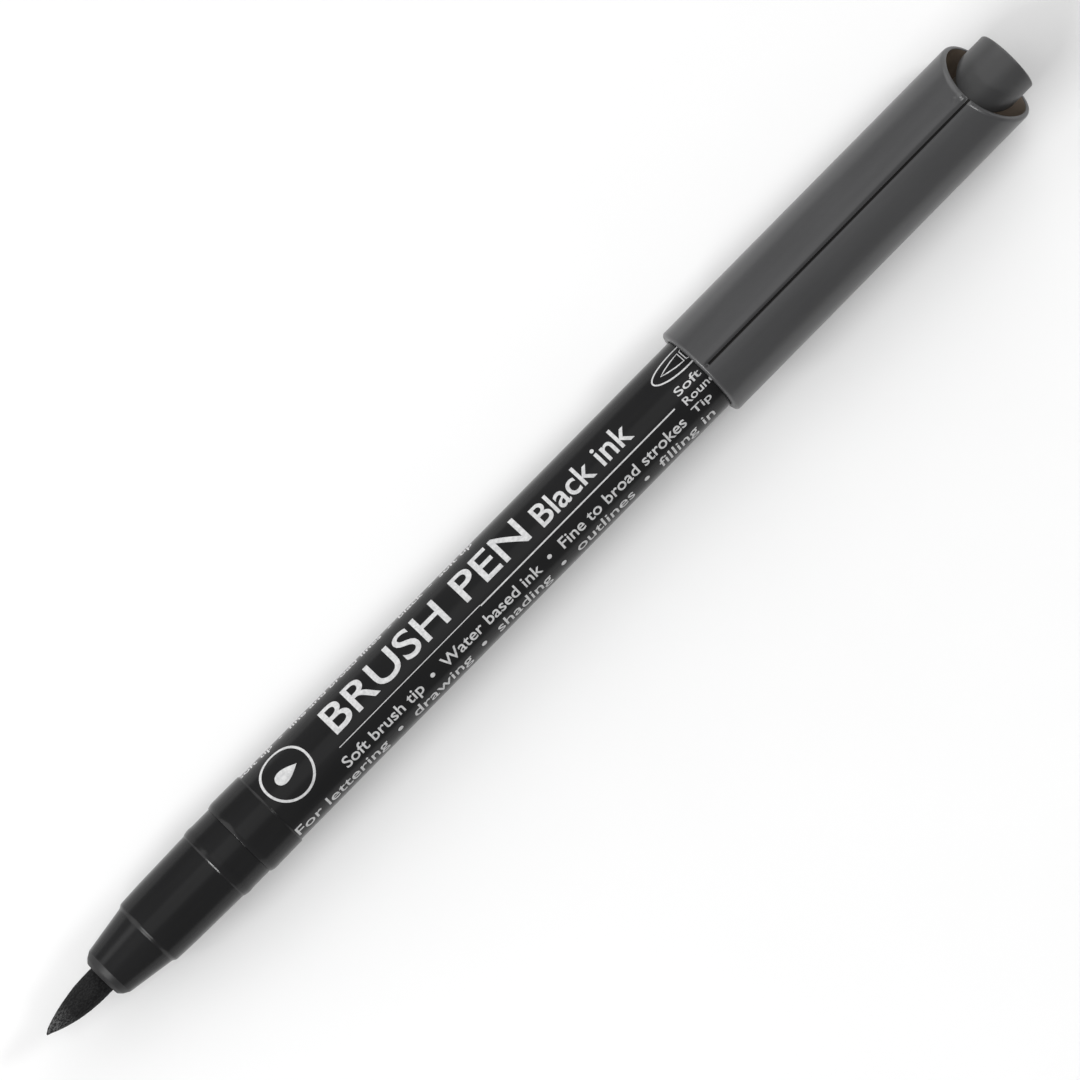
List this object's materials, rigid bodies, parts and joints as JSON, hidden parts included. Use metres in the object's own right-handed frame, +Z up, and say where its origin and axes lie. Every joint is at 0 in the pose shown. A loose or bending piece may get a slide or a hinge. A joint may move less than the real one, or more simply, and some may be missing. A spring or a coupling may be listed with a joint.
{
  "type": "brush pen",
  "caption": "Calligraphy marker with a pointed fibre brush nib, a tubular ink-filled barrel and a pull-off cap with a slanted open end, stored posted on the pen's tail.",
  "frame": {"origin": "under the middle of the pen's length, on the level of the surface that the posted cap rests on; the pen's axis is 6.35 mm above it", "axes": "+X along the pen's axis from the nib towards the cap; +Z up, the side of the cap's seam and of the low side of its slanted end; +Y across"},
  "size_m": [0.1624, 0.0126, 0.0127],
  "materials": {
    "barrel": "satin black moulded plastic, printed in light grey",
    "front_section": "satin black moulded plastic",
    "nib_collar": "natural",
    "nib": "felt soaked in black ink, greyer at the tip",
    "ink_reservoir": "bonded fibre soaked in ink",
    "reservoir_film": "clear film",
    "cap": "satin dark grey moulded plastic with faint flow marks",
    "inner_cap": "natural, brownish",
    "crown": "satin dark grey moulded plastic"
  },
  "bodies": {
    "pen": {"barrel": "barrel", "tail_plug": "barrel", "front_section": "front_section", "nib_collar": "nib_collar", "nib_shank": "nib", "ink_reservoir": "ink_reservoir", "reservoir_film": "reservoir_film"},
    "brush_tip": {"nib_point": "nib"},
    "cap": {"cap_shell": "cap", "inner_cap": "inner_cap", "crown_plug": "crown"}
  },
  "joints": [
    {"name": "cap_pull", "type": "slide", "parent": "pen", "child": "cap", "axis": [1, 0, 0], "range_m": [0, 0.025]},
    {"name": "nib_flex", "type": "hinge", "parent": "pen", "child": "brush_tip", "pos_m": [-0.0733, 0, 0.00635], "axis": [0, 1, 0], "range_deg": [-20, 20], "stiffness_Nm_per_rad": 0.012}
  ]
}
